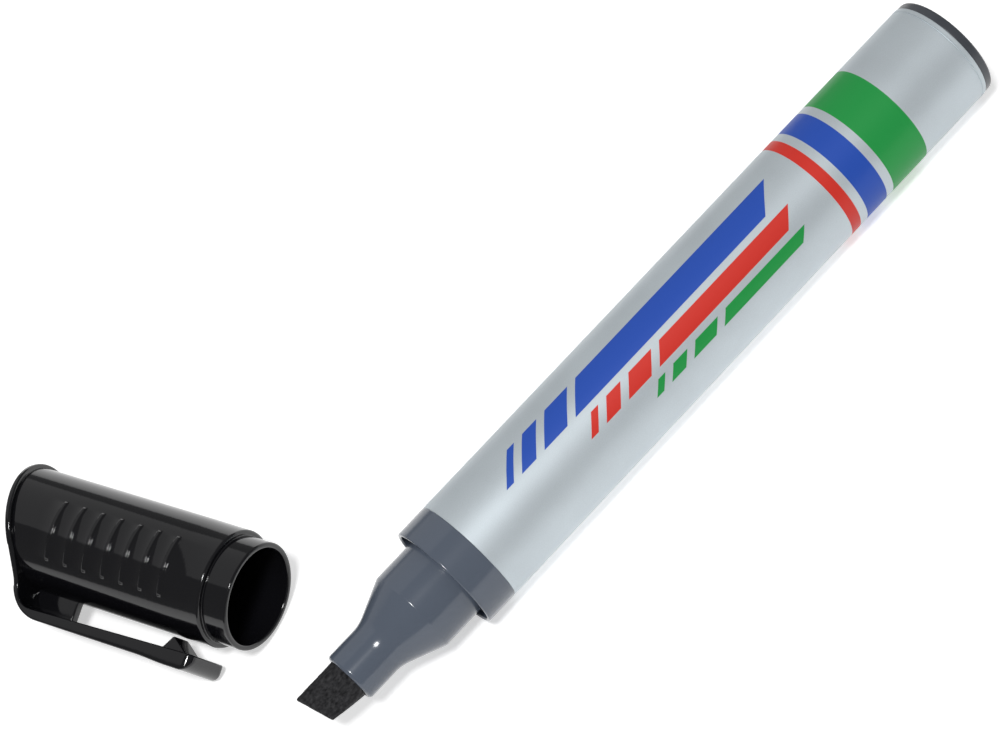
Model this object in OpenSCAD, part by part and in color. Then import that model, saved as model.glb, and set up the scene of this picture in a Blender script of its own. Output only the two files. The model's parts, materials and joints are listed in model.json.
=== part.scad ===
// Felt tip marker with a chisel nib, lying on a table with its cap taken off and laid beside it.
// X runs along the barrel towards the nib, Z is up, and the origin is the centre of the rear end face.
// The cap is drawn in its own frame: mouth at z = 0, closed end up the z axis, clip on the +x side.

/* [Barrel] */
// Outer diameter of the aluminium tube
barrel_d = 17; // [15:0.5:22]
// Wall of the tube
barrel_wall = 0.5; // [0.3:0.05:0.8]
// Length of the tube
barrel_len = 96.6; // [70:0.1:130]
// Distance of the rolled line from the tube's rear edge
roll_setback = 0.8; // [0.6:0.1:3]
// Radius of the rolled line's half-round groove
roll_r = 0.15; // [0.1:0.05:0.25]

/* [Rear plug] */
// Thickness of the flange that shows behind the tube
flange_t = 1.4; // [1:0.1:3]
// How far the flange stays inside the tube's outline
flange_inset = 0.1; // [0:0.05:0.5]
// Radius of the flange's rear edge
flange_round = 0.45; // [0.2:0.05:0.9]
// Thickness of the plug's end wall
plug_floor = 2.1; // [1:0.1:2.8]
// Length of the spigot inside the tube
plug_spigot_len = 9; // [7:0.5:15]
// Distance of the reservoir's seat from the tube's rear edge
plug_seat = 3; // [2:0.5:5]

/* [Front holder] */
// Length of the collar that carries on the tube's outline
collar_len = 5; // [4.6:0.1:8]
// Wall of the collar around the cap groove
collar_wall = 0.6; // [0.4:0.05:1]
// Radius of the collar's front edge
collar_round = 0.25; // [0.1:0.05:0.3]
// Straight length of the nozzle in front of the collar
nozzle_len = 6.2; // [3:0.1:10]
// Radius of the nozzle's shoulder
nozzle_round = 0.6; // [0.2:0.1:2]
// Wall of the hollow nozzle
nozzle_wall = 1.2; // [0.8:0.1:1.6]
// Length of the cone
cone_len = 6.2; // [4:0.1:10]
// Radius of the cone's foot
cone_round = 6; // [1:0.5:8]
// Length of the tube that holds the nib
tube_len = 6.1; // [4:0.1:10]
// Wall of the tube that holds the nib
tube_wall = 0.7; // [0.6:0.05:1.2]
// Radius of the tube's front edge
tube_round = 0.55; // [0.2:0.05:0.6]
// Length of the spigot inside the barrel
holder_spigot_len = 12; // [8:0.5:18]
// Depth of the reservoir's socket in the spigot
holder_socket = 10; // [5:0.5:16]
// Wall of the spigots
spigot_wall = 0.8; // [0.6:0.05:1.2]

/* [Nib] */
// Diameter of the felt rod
nib_d = 6.4; // [4:0.1:7]
// How far the long corner stands out of the holder
nib_out = 6.8; // [5:0.1:10]
// Slant of the writing edge
nib_slant = 14; // [0:1:45]
// Thickness of the writing edge
nib_edge_t = 1.5; // [0.8:0.1:2.5]
// Angle between each chisel face and the rod's middle plane
nib_bevel = 17; // [8:1:25]
// Angle of the short corner's side face
nib_side_bevel = 10; // [0:1:20]
// Turn of the chisel about the barrel
nib_turn = 35; // [0:1:90]
// Depth that the nib reaches into the reservoir
nib_tail = 8; // [4:0.5:14]
// Length of the tail's taper
nib_taper = 3; // [1:0.5:4]
// Diameter of the tail's end
nib_tail_d = 3.2; // [2:0.1:3.8]

/* [Ink reservoir] */
// Thickness of the film round the fibres
film_t = 0.12; // [0.05:0.01:0.2]
// Length of bare fibre at each end of the film
film_setback = 1.5; // [0.5:0.5:3]

/* [Cap] */
// Length of the skirt that enters the collar
skirt_len = 4; // [3:0.1:4.4]
// Wall of the skirt
skirt_wall = 0.8; // [0.5:0.05:1.2]
// Radius of the mouth's outer edge
skirt_round = 0.3; // [0.1:0.05:0.35]
// Radius of the shoulder's edge
shoulder_round = 0.4; // [0.1:0.05:0.6]
// Slant of the closed end
end_slant = 19; // [0:1:25]
// Thickness of the end plate
plate_t = 0.9; // [0.7:0.1:2]
// How far the end plate stands proud of the body
plate_proud = 0.75; // [0.4:0.05:1.5]
// Radius of the end plate's edges
plate_round = 0.25; // [0.1:0.05:0.45]
// Space between the inner cap and the end plate's outer face
head_space = 6.9; // [5.5:0.1:12]

/* [Clip] */
// Width of the clip at its root
clip_w = 12; // [9:0.1:13]
// Width of the clip at its tip
clip_tip_w = 9; // [5:0.1:11]
// Thickness of the clip at its root
clip_t = 1.3; // [1.1:0.1:2.2]
// Thickness of the clip at its tip, without the swell
clip_tip_t = 2.3; // [1.2:0.1:2.4]
// Distance of the clip's outer face from the body at the root
clip_reach = 4.3; // [4:0.1:6]
// How far the clip's outer face leans in from its root to its tip
clip_lean = 0.1; // [0:0.1:0.6]
// Distance of the clip's tip from the mouth
clip_setback = 4.2; // [0:0.1:5]
// Outward swell of the clip's outer face near its tip
clip_flare = 0.2; // [0:0.05:0.8]
// Length of the swollen part
flare_len = 9; // [6:0.1:14]
// Length over which the swell rises
flare_rise = 5; // [2:0.1:6]
// Radius of the clip's nose
nose_r = 1.8; // [0.8:0.1:2]
// Radius of the tip's inner edge
tip_round = 0.4; // [0.1:0.05:0.5]
// Radius outside the clip's bend
clip_bend = 5.7; // [3:0.1:6]
// Radius inside the clip's bend
clip_fillet = 2.8; // [1:0.1:3]
// Radius of the tip's corners
clip_corner = 1.2; // [0.5:0.1:2]
// Thickness of the web that carries the clip's root
web_w = 1.5; // [1:0.1:4]
// Length of the web along the cap
web_len = 6.6; // [4:0.1:14]
// Width of the gripping ridge
ridge_w = 3.8; // [2:0.1:4]
// Distance of the gripping ridge from the mouth
ridge_z = 9.9; // [7:0.1:12]
// Gap between the gripping ridge and the body
ridge_gap = 0.15; // [0.1:0.05:0.5]
// Length of the ridge's slope towards the tip
ridge_lead = 2.8; // [1:0.1:3.5]
// Length of the ridge's slope towards the root
ridge_trail = 1.3; // [1:0.1:4]

/* [Grip ribs] */
// Number of ribs on each flank
rib_count = 7; // [3:1:12]
// Width of a rib at its foot
rib_w = 0.9; // [0.5:0.05:1.5]
// Width of a rib at its crest
rib_crest = 0.35; // [0.2:0.05:0.5]
// How far a rib stands proud of the body
rib_h = 0.25; // [0.1:0.05:0.4]
// Arc that each rib covers
rib_arc = 62; // [30:1:80]
// Distance of the first rib from the shoulder
rib_front = 6.7; // [2:0.1:10]
// Distance of the last rib from the end plate at the cap's axis
rib_back = 8.2; // [3:0.1:10]

/* [Inner cap] */
// Wall of the inner cap
inner_wall = 0.9; // [0.6:0.1:1.4]
// Thickness of the inner cap's rim
inner_rim_t = 1.2; // [0.8:0.1:2]
// Radius of the inner cap's mouth
inner_round = 0.45; // [0.1:0.05:0.6]
// How far the rim's seat in the cap is narrower than the cap's bore
seat_step = 0.2; // [0.1:0.05:0.3]
// Ledge in the cap that the rim sits on
inner_ledge = 0.5; // [0.3:0.1:0.8]
// Room in front of the nib when the cap is on
nib_room = 1.7; // [0.5:0.1:4]

/* [Fits] */
// Radial clearance of the spigots in the barrel
spigot_fit = 0.03; // [0.01:0.01:0.1]
// Radial clearance of the nib in the holder and the reservoir
nib_fit = 0.05; // [0.01:0.01:0.1]
// Radial clearance of the wrapped reservoir in its sockets
wrap_fit = 0.06; // [0.02:0.01:0.2]
// Radial clearance of the fibres in the film
film_fit = 0.02; // [0.01:0.01:0.05]
// Radial clearance of the skirt inside the collar
skirt_fit = 0.2; // [0.05:0.05:0.3]
// Radial clearance of the skirt around the nozzle
throat_fit = 0.4; // [0.2:0.05:0.6]
// Axial clearance of the skirt at the groove's floor
groove_fit = 0.3; // [0.1:0.1:0.5]
// Radial clearance of the inner cap in the cap, and of the nib's tube in the inner cap
inner_fit = 0.05; // [0.02:0.01:0.1]

/* [Cap on the table] */
// Distance of the cap's mouth behind the nib's point, along the barrel
cap_back = 7.2; // [0:0.1:20]
// Distance of the mouth's centre from the barrel's side
cap_clear = 11.9; // [10:0.1:40]
// Direction from the mouth to the closed end, seen from above
cap_yaw = -70.4; // [-110:0.1:-60]

/* [Hidden] */
$fn = 96;

// Cutters reach this far past the faces that they cut
slack = 0.2;
// Longer than any piece
far = 100;

// Radii from the barrel inwards
barrel_r = barrel_d / 2;
barrel_bore_r = barrel_r - barrel_wall;
spigot_r = barrel_bore_r - spigot_fit;
socket_r = spigot_r - spigot_wall;
wrap_r = socket_r - wrap_fit;
film_bore_r = wrap_r - film_t;
fibre_r = film_bore_r - film_fit;
lip_r = barrel_r - collar_wall;
skirt_r = lip_r - skirt_fit;
cap_bore_r = skirt_r - skirt_wall;
nozzle_r = cap_bore_r - throat_fit;
chamber_r = nozzle_r - nozzle_wall;
nib_r = nib_d / 2;
nib_tail_r = nib_tail_d / 2;
nib_bore_r = nib_r + nib_fit;
tube_r = nib_bore_r + tube_wall;

// Stations along the barrel
barrel_x0 = flange_t;
barrel_x1 = barrel_x0 + barrel_len;
rear_seat_x = barrel_x0 + plug_seat;
front_seat_x = barrel_x1 - holder_spigot_len + holder_socket;
lip_x = barrel_x1 + collar_len;
groove_x = lip_x - skirt_len - groove_fit;
shoulder_x = lip_x + nozzle_len;
cone_x = shoulder_x + cone_len;
tube_x = cone_x + tube_len;
point_x = tube_x + nib_out;
tail_x = front_seat_x - nib_tail;

// Stations along the cap
inner_z0 = skirt_len + nozzle_len + cone_len;
ledge_z = inner_z0 + inner_rim_t;
inner_room_z = inner_z0 + tube_len + nib_out + nib_room;
inner_z1 = inner_room_z + inner_wall;
cap_len = inner_z1 + head_space;
inner_bore_r = tube_r + inner_fit;
seat_r = cap_bore_r - seat_step;
plate_r = barrel_r + plate_proud;
// The clip's strip starts inside the end plate, a little thinner than the plate
strip_n = barrel_r / 2;
strip_depth = (plate_t - slack / 2) / cos(end_slant);

// Clip outline, as [distance from the cap's axis, distance from the mouth]
root_n = barrel_r + clip_reach;
root_z = end_z(root_n);
tip_n = root_n - clip_lean;
tip_z = clip_setback;
flare_z = tip_z + flare_len;
swell_z = flare_z - flare_rise;
inner_tip = [tip_n - clip_tip_t, tip_z];
inner_root = [root_n - clip_t, end_z(root_n - clip_t) - strip_depth];
ridge_n = barrel_r + ridge_gap;
clip_pts = [
    [root_n, root_z],
    [clip_n(flare_z), flare_z],
    [clip_n(swell_z) + clip_flare, swell_z],
    [tip_n + clip_flare, tip_z],
    inner_tip,
    inner_root,
    [strip_n, end_z(strip_n) - strip_depth],
    [strip_n, end_z(strip_n)]
];

// Bend between the end plate and the clip
bend_down = unit(clip_pts[1] - clip_pts[0]);
bend_back = [-cos(end_slant), sin(end_slant)];
bend_half = acos(bend_down * bend_back) / 2;
bend_reach = clip_bend / tan(bend_half);
bend_centre = clip_pts[0] + unit(bend_down + bend_back) * clip_bend / sin(bend_half);

// The cap lies on its first low rib, the rim of its end plate and the low corner of its clip
floor_z = -barrel_r;
rib_top_r = barrel_r + rib_h;
rib_z0 = skirt_len + rib_front;
rib_z1 = cap_len - rib_back;
cap_tilt = asin((plate_r - rib_top_r) / (cap_len - rib_z0));
bend_pts = [for (turn = [0:90 - end_slant]) bend_centre + clip_bend * [cos(turn), sin(turn)]];
cap_roll = min([for (p = concat(bend_pts, [clip_pts[2]])) rest_roll(p[0], p[1])]);
cap_place = [point_x - cap_back, -barrel_r - cap_clear, floor_z + axis_height(0)];

function unit(v) = v / norm(v);
// Height of the slanted end's outer face at distance n towards the clip
function end_z(n) = cap_len - n * tan(end_slant);
// Distance of the clip's outer face from the axis at height z
function clip_n(z) = root_n - clip_lean * (root_z - z) / (root_z - tip_z);
// Distance of the clip's inner face from the axis at height z
function clip_in(z) = inner_tip[0] + (inner_root[0] - inner_tip[0]) * (z - tip_z) / (inner_root[1] - tip_z);
// Half the clip's width at height z
function clip_half(z) = (clip_tip_w + (clip_w - clip_tip_w) * (z - tip_z) / (root_z - tip_z)) / 2;
// Height of the lying cap's axis above the table, at distance z from the mouth
function axis_height(z) = rib_top_r + (z - rib_z0) * sin(cap_tilt);
// Angle below the level at which the clip's low edge, at distance n and station z, meets the table
function rest_roll(n, z) = asin(axis_height(z) / norm([n, clip_half(z)])) - atan2(clip_half(z), n);

// Turns a profile of [radius, station] about the barrel's axis
module turned() {
    rotate([0, 90, 0]) rotate_extrude() children();
}

// Profile of a ring between two radii and two stations
module band(r0, r1, y0, y1) {
    translate([r0, y0]) square([r1 - r0, y1 - y0]);
}

// Cutter that rounds a profile's outer corner; way is 1 where the edge faces up the axis and -1 where down
module round_out(r, y, radius, way) {
    translate([r - radius, y - way * radius]) mirror([0, way < 0 ? 1 : 0]) difference() {
        square(radius + slack);
        circle(radius);
    }
}

// Cutter that rounds the inner corner of a hole's mouth, as round_out does outside
module round_in(r, y, radius, way) {
    translate([r + radius, y - way * radius]) mirror([0, way < 0 ? 1 : 0]) difference() {
        translate([-radius - slack, 0]) square(radius + slack);
        circle(radius);
    }
}

// Patch between a corner and the round that touches both of its sides; along and across point down the sides
module corner_patch(corner, along, across, radius) {
    inward = unit(along + across);
    half = acos(along * across) / 2;
    centre = corner + inward * radius / sin(half);
    reach = radius / tan(half);
    difference() {
        polygon([corner - inward * slack, corner + along * reach, centre, corner + across * reach]);
        translate(centre) circle(radius);
    }
}

module barrel() {
    color("silver") turned() difference() {
        band(barrel_bore_r, barrel_r, barrel_x0, barrel_x1);
        translate([barrel_r, barrel_x0 + roll_setback]) circle(roll_r);
    }
}

module rear_plug() {
    color("dimgray") turned() difference() {
        union() {
            band(0, barrel_r - flange_inset, 0, barrel_x0);
            band(0, spigot_r, barrel_x0 - slack, barrel_x0 + plug_spigot_len);
        }
        band(0, socket_r, rear_seat_x, barrel_x0 + plug_spigot_len + slack);
        band(0, chamber_r, plug_floor, rear_seat_x + slack);
        round_out(barrel_r - flange_inset, 0, flange_round, -1);
    }
}

// Outside of the holder: spigot, collar, nozzle, cone and the tube that holds the nib
module holder_outside() {
    shoulder = [nozzle_r, shoulder_x];
    foot = [tube_r, cone_x];
    down_cone = unit(foot - shoulder);
    difference() {
        union() {
            polygon([
                [0, barrel_x1 - holder_spigot_len], [spigot_r, barrel_x1 - holder_spigot_len],
                [spigot_r, barrel_x1], [barrel_r, barrel_x1], [barrel_r, lip_x], [nozzle_r, lip_x],
                shoulder, foot, [tube_r, tube_x], [0, tube_x]
            ]);
            corner_patch(foot, -down_cone, [0, 1], cone_round);
        }
        band(nozzle_r, lip_r, groove_x, lip_x + slack);
        corner_patch(shoulder, [0, -1], down_cone, nozzle_round);
        round_out(barrel_r, lip_x, collar_round, 1);
        round_in(lip_r, lip_x, collar_round, 1);
        round_out(tube_r, tube_x, tube_round, 1);
    }
}

// Inside of the holder: reservoir socket, ink chamber and nib bore
module holder_inside() {
    band(0, socket_r, barrel_x1 - holder_spigot_len - slack, front_seat_x);
    band(0, chamber_r, front_seat_x - slack, shoulder_x - nozzle_wall);
    polygon([
        [0, shoulder_x - nozzle_wall - slack], [chamber_r, shoulder_x - nozzle_wall],
        [nib_bore_r, cone_x - nozzle_wall], [0, cone_x]
    ]);
    band(0, nib_bore_r, cone_x - nozzle_wall - slack, tube_x + slack);
}

module front_holder() {
    color("slategray") turned() difference() {
        holder_outside();
        holder_inside();
    }
}

// Half space above a plane that contains the local y axis and rises at an angle from the x axis
module above(angle) {
    rotate([0, -angle, 0]) translate([-far, -far, 0]) cube([2 * far, 2 * far, far]);
}

module nib() {
    color("black") rotate([-nib_turn, 0, 0]) difference() {
        turned() {
            band(0, nib_r, tail_x + nib_taper, point_x);
            polygon([[0, tail_x], [nib_tail_r, tail_x], [nib_r, tail_x + nib_taper], [0, tail_x + nib_taper]]);
        }
        for (face = [0, 1])
            mirror([0, 0, face]) translate([point_x, 0, nib_edge_t / 2]) above(-nib_bevel);
        translate([point_x, -nib_r, 0]) rotate([0, 0, nib_slant]) translate([0, -far, -far])
            cube([far, 2 * far, 2 * far]);
        translate([tube_x, nib_r, 0]) rotate([0, 0, -nib_side_bevel]) translate([-far, 0, -far])
            cube([2 * far, far, 2 * far]);
    }
}

module ink_reservoir() {
    color("darkslategray") turned() difference() {
        band(0, fibre_r, rear_seat_x, front_seat_x);
        band(0, nib_bore_r, tail_x + nib_taper, front_seat_x + slack);
        polygon([
            [0, tail_x], [nib_tail_r + nib_fit, tail_x], [nib_bore_r, tail_x + nib_taper],
            [nib_bore_r, tail_x + nib_taper + slack], [0, tail_x + nib_taper + slack]
        ]);
    }
}

module reservoir_wrap() {
    color("whitesmoke") turned()
        band(film_bore_r, wrap_r, rear_seat_x + film_setback, front_seat_x - film_setback);
}

// Puts the cap's pieces where the cap lies on the table
module on_table() {
    translate(cap_place) rotate([0, 0, cap_yaw]) rotate([0, 90 - cap_tilt, 0])
        rotate([0, 0, 90 - cap_roll]) children();
}

// Frame of the slanted end: its xy plane is the end plate's outer face
module end_frame() {
    translate([0, 0, cap_len]) rotate([0, end_slant, 0]) children();
}

// Everything that lies under the slanted end, at a given depth below its outer face
module under_end(depth) {
    end_frame() translate([-far, -far, -2 * far - depth]) cube([2 * far, 2 * far, 2 * far]);
}

// Round end plate with a tongue whose sides leave it at a tangent, narrow to the clip and end inside it
module end_plate() {
    neck_c = root_n / cos(end_slant) - bend_reach - clip_t / 2;
    neck = [neck_c, clip_half(cap_len - neck_c * sin(end_slant))];
    touch_angle = atan2(neck[1], neck[0]) + acos(plate_r / norm(neck));
    touch = plate_r * [cos(touch_angle), sin(touch_angle)];
    inside = neck + unit(neck - touch) * clip_t / 2;
    end_frame() translate([0, 0, -plate_t]) {
        rotate_extrude() difference() {
            band(0, plate_r, 0, plate_t);
            round_out(plate_r, plate_t, plate_round, 1);
            round_out(plate_r, 0, plate_round, -1);
        }
        linear_extrude(plate_t)
            polygon([touch, inside, [inside[0], -inside[1]], [touch[0], -touch[1]]]);
    }
}

// Clip seen from outside: a strip that narrows to a tip with round corners
module clip_plan() {
    tip = [clip_tip_w / 2, tip_z];
    top = [clip_half(cap_len), cap_len];
    difference() {
        polygon([tip, top, [-top[0], top[1]], [-tip[0], tip[1]]]);
        for (side = [0, 1])
            mirror([side, 0]) corner_patch(tip, [-1, 0], unit(top - tip), clip_corner);
    }
}

// Clip seen from the side: end plate, round bend, swollen tip with its nose
module clip_side() {
    nose = clip_pts[3];
    inner_way = unit(inner_tip - inner_root);
    sunk_root = inner_root - unit(bend_back + inner_way) * slack / 4;
    difference() {
        union() {
            polygon(clip_pts);
            corner_patch(sunk_root, bend_back, inner_way, clip_fillet);
        }
        corner_patch(clip_pts[0], bend_down, bend_back, clip_bend);
        corner_patch(nose, [-1, 0], unit(clip_pts[2] - nose), nose_r);
        corner_patch(inner_tip, [1, 0], -inner_way, tip_round);
    }
}

// Ridge inside the clip that grips a pocket against the body
module ridge() {
    low = ridge_z - ridge_lead;
    high = ridge_z + ridge_trail;
    rotate([90, 0, 0]) linear_extrude(ridge_w, center = true) polygon([
        [clip_in(low), low], [ridge_n, ridge_z], [clip_in(high), high],
        [clip_in(high) + clip_t / 2, high], [clip_in(low) + clip_t / 2, low]
    ]);
}

// Thin web between the body and the clip's root
module web() {
    wall_n = cap_bore_r + skirt_wall / 2;
    low = root_z - web_len;
    rotate([90, 0, 0]) linear_extrude(web_w, center = true) polygon([
        [wall_n, low], [clip_in(low) + clip_t / 2, low], inner_root, [wall_n, end_z(wall_n) - plate_t / 2]
    ]);
}

// Spring clip in one piece with the end plate, with a gripping ridge near its tip and a web at its root
module clip() {
    intersection() {
        rotate([90, 0, 0]) linear_extrude(2 * clip_w, center = true) clip_side();
        rotate([90, 0, 90]) linear_extrude(far) clip_plan();
    }
    ridge();
    web();
}

// One rib: a low bead with sloping sides along an arc of the body
module grip_rib() {
    rotate([0, 0, -rib_arc / 2]) rotate_extrude(angle = rib_arc)
        polygon([
            [barrel_r - slack, -rib_w / 2], [barrel_r, -rib_w / 2], [rib_top_r, -rib_crest / 2],
            [rib_top_r, rib_crest / 2], [barrel_r, rib_w / 2], [barrel_r - slack, rib_w / 2]
        ]);
}

module grip_ribs() {
    pitch = (rib_z1 - rib_z0) / (rib_count - 1);
    for (flank = [90, -90])
        for (i = [0:rib_count - 1])
            rotate([0, 0, flank]) translate([0, 0, rib_z0 + pitch * i]) grip_rib();
}

module cap_shell() {
    color("#18181c") on_table() difference() {
        union() {
            rotate_extrude() difference() {
                band(0, skirt_r, 0, skirt_len + slack);
                round_out(skirt_r, 0, skirt_round, -1);
            }
            intersection() {
                rotate_extrude() difference() {
                    band(0, barrel_r, skirt_len, cap_len + plate_r);
                    round_out(barrel_r, skirt_len, shoulder_round, -1);
                }
                under_end(plate_t / 2);
            }
            end_plate();
            clip();
            grip_ribs();
        }
        rotate_extrude() {
            band(0, cap_bore_r, -slack, inner_z0);
            band(0, seat_r, inner_z0 - slack, ledge_z);
        }
        intersection() {
            cylinder(r = seat_r - inner_ledge, h = far);
            under_end(plate_t);
        }
    }
}

module inner_cap() {
    color("#26262a") on_table() rotate_extrude() difference() {
        union() {
            band(0, seat_r - inner_fit, inner_z0, ledge_z);
            band(0, inner_bore_r + inner_wall, inner_z0, inner_z1);
        }
        band(0, inner_bore_r, inner_z0 - slack, inner_room_z);
        round_in(inner_bore_r, inner_z0, inner_round, -1);
    }
}

barrel();
rear_plug();
front_holder();
nib();
ink_reservoir();
reservoir_wrap();
cap_shell();
inner_cap();
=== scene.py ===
"""Looks of a felt tip marker that lies on a white table with its cap beside it.

Lengths in the classes are millimetres in the marker's frame: +X runs along the barrel to the nib, +Z is up,
and the origin is the centre of the rear end face. Meshes, lamps and the camera are written in metres.
"""

from __future__ import annotations

import json
import logging
import math
from collections.abc import Sequence
from dataclasses import dataclass
from enum import Enum

import bmesh
import bpy
import numpy as np
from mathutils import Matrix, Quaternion, Vector

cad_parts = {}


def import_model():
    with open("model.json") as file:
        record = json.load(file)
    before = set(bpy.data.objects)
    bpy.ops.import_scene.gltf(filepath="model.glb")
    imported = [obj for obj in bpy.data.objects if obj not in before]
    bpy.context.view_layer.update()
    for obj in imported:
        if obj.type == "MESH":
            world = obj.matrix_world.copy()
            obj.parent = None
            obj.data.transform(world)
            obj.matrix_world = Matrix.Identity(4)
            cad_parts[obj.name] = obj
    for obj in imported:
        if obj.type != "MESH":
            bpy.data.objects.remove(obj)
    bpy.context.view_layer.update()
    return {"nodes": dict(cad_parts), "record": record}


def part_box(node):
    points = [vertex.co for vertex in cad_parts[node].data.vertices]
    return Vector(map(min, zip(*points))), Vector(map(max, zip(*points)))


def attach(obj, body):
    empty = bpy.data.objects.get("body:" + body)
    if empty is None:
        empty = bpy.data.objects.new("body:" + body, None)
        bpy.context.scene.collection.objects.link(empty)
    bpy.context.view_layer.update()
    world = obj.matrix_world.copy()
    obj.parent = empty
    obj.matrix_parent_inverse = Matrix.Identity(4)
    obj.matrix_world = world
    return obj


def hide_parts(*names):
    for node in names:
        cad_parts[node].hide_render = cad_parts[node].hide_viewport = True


LOG = logging.getLogger("felt_tip_marker")
MM = 0.001
FULL_TURN = 2.0 * math.pi
MERGE_DISTANCE = 1e-4 * MM
SHARP_ANGLE = math.radians(40.0)

Colour = tuple[float, float, float]
Point = tuple[float, float, float]
Sockets = dict[str, bpy.types.NodeSocket]


class Wrap(Enum):
    """Which way a grid of points closes on itself."""

    ROWS = "rows"
    COLUMNS = "columns"
    BOTH = "both"


class Ink(Enum):
    """Printing inks on the barrel, as linear colours."""

    BLUE = (0.012, 0.085, 0.520)
    RED = (0.760, 0.028, 0.014)
    GREEN = (0.006, 0.350, 0.060)


# Shapes


def unit(vector: np.ndarray) -> np.ndarray:
    """The vector at length one."""
    return vector / np.linalg.norm(vector)


def ease(value: np.ndarray) -> np.ndarray:
    """Ramp with flat ends, 3t^2 - 2t^3 of the value held between 0 and 1."""
    t = np.clip(value, 0.0, 1.0)
    return t * t * (3.0 - 2.0 * t)


def quarter(depth: np.ndarray, radius: float) -> np.ndarray:
    """Fall of a quarter round, r - sqrt(r^2 - (r - d)^2) at a depth d from the edge, and 0 further in."""
    short = np.clip(radius - depth, 0.0, radius)
    return radius - np.sqrt(radius**2 - short**2)


def arc(
    corner: np.ndarray, back: np.ndarray, ahead: np.ndarray, radius: float, share: np.ndarray
) -> np.ndarray:
    """Points on the round that touches both sides of a corner.

    The centre lies on the bisector, radius / sin(half the corner's angle) from the corner, and the points
    turn evenly about it.

    Args:
        corner: the corner.
        back: direction of the side before it.
        ahead: direction of the side after it.
        radius: radius of the round.
        share: places along the round, a column from 0 to 1.

    Returns:
        The points.
    """
    half = 0.5 * math.acos(float(np.clip(back @ ahead, -1.0, 1.0)))
    centre = corner + unit(back + ahead) * radius / math.sin(half)
    first = unit(corner + back * radius / math.tan(half) - centre)
    last = unit(corner + ahead * radius / math.tan(half) - centre)
    sweep = math.pi - 2.0 * half
    weight = np.sin((1.0 - share) * sweep) * first + np.sin(share * sweep) * last
    return centre + radius * weight / math.sin(sweep)


@dataclass(frozen=True)
class Corner:
    """Corner of a turned profile: distance from the axis, station along it and radius of its rounding."""

    radius: float
    station: float
    bend: float = 0.0


def rounded_profile(corners: Sequence[Corner], steps: int = 7, support: float = 0.05) -> np.ndarray:
    """Closed profile whose rounded corners are arcs that touch both of their sides.

    A support point stands just before and just after each arc, which keeps the sides' shading flat.

    Args:
        corners: the profile's corners in order.
        steps: points on each arc.
        support: distance of the support points from the arc.

    Returns:
        Points as rows of [radius, station].
    """
    points = np.array([[c.radius, c.station] for c in corners])
    parts = []
    for i, corner in enumerate(corners):
        if corner.bend == 0.0:
            parts.append(points[i : i + 1])
            continue
        back = unit(points[i - 1] - points[i])
        ahead = unit(points[(i + 1) % len(points)] - points[i])
        reach = corner.bend / math.tan(0.5 * math.acos(float(np.clip(back @ ahead, -1.0, 1.0))))
        bend = arc(points[i], back, ahead, corner.bend, np.linspace(0.0, 1.0, steps)[:, None])
        before = points[i] + back * (reach + support)
        after = points[i] + ahead * (reach + support)
        parts.append(np.vstack([before, bend, after]))
    return np.vstack(parts)


def turned(profile: np.ndarray, segments: int = 256) -> np.ndarray:
    """Surface of revolution about X: [r, x] at angle a goes to (x, r sin a, r cos a).

    Args:
        profile: rows of [radius, station].
        segments: steps round the axis.

    Returns:
        Points [segment, profile point, xyz].
    """
    angle = np.linspace(0.0, FULL_TURN, segments, endpoint=False)[:, None]
    radius, station = profile[None, :, 0], profile[None, :, 1]
    along = np.broadcast_to(station, (segments, len(profile)))
    return np.stack([along, radius * np.sin(angle), radius * np.cos(angle)], axis=-1)


def linked(name: str, data: bpy.types.ID) -> bpy.types.Object:
    """Adds an object to the scene.

    Args:
        name: the object's name.
        data: its mesh, lamp or camera.

    Returns:
        The object.
    """
    item = bpy.data.objects.new(name, data)
    bpy.context.scene.collection.objects.link(item)
    return item


def surface(name: str, points: np.ndarray, wrap: Wrap) -> bpy.types.Object:
    """Smooth mesh of a grid of points: neighbours make quads, and coinciding points are merged.

    Args:
        name: the object's name.
        points: grid [row, column, xyz] in millimetres.
        wrap: which way the grid closes on itself.

    Returns:
        The object, at the origin, with its faces pointing outwards.
    """
    index = np.arange(points.shape[0] * points.shape[1]).reshape(points.shape[:2])
    if wrap in (Wrap.ROWS, Wrap.BOTH):
        index = np.vstack([index, index[:1]])
    if wrap in (Wrap.COLUMNS, Wrap.BOTH):
        index = np.hstack([index, index[:, :1]])
    quads = np.stack([index[:-1, :-1], index[1:, :-1], index[1:, 1:], index[:-1, 1:]], axis=-1)
    mesh = bpy.data.meshes.new(name)
    mesh.from_pydata((points.reshape(-1, 3) * MM).tolist(), [], quads.reshape(-1, 4).tolist())
    shell = bmesh.new()
    shell.from_mesh(mesh)
    bmesh.ops.remove_doubles(shell, verts=shell.verts, dist=MERGE_DISTANCE)
    bmesh.ops.recalc_face_normals(shell, faces=shell.faces)
    shell.to_mesh(mesh)
    shell.free()
    mesh.shade_smooth()
    mesh.set_sharp_from_angle(angle=SHARP_ANGLE)
    return linked(name, mesh)


def settle(piece: bpy.types.Object, body: str, slot: str, finish: bpy.types.Material, *nodes: str) -> None:
    """Gives a piece its finish, its body and the CAD nodes that it stands for.

    Args:
        piece: the new piece.
        body: the CAD body that it moves with.
        slot: the record's material slot; not used.
        finish: the piece's material.
        nodes: the CAD nodes that it replaces.
    """
    piece.data.materials.clear()
    piece.data.materials.append(finish)
    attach(piece, body)
    if nodes:
        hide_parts(*nodes)
    LOG.info("%s: %d faces on body %s", piece.name, len(piece.data.polygons), body)


# Shader graphs


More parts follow.
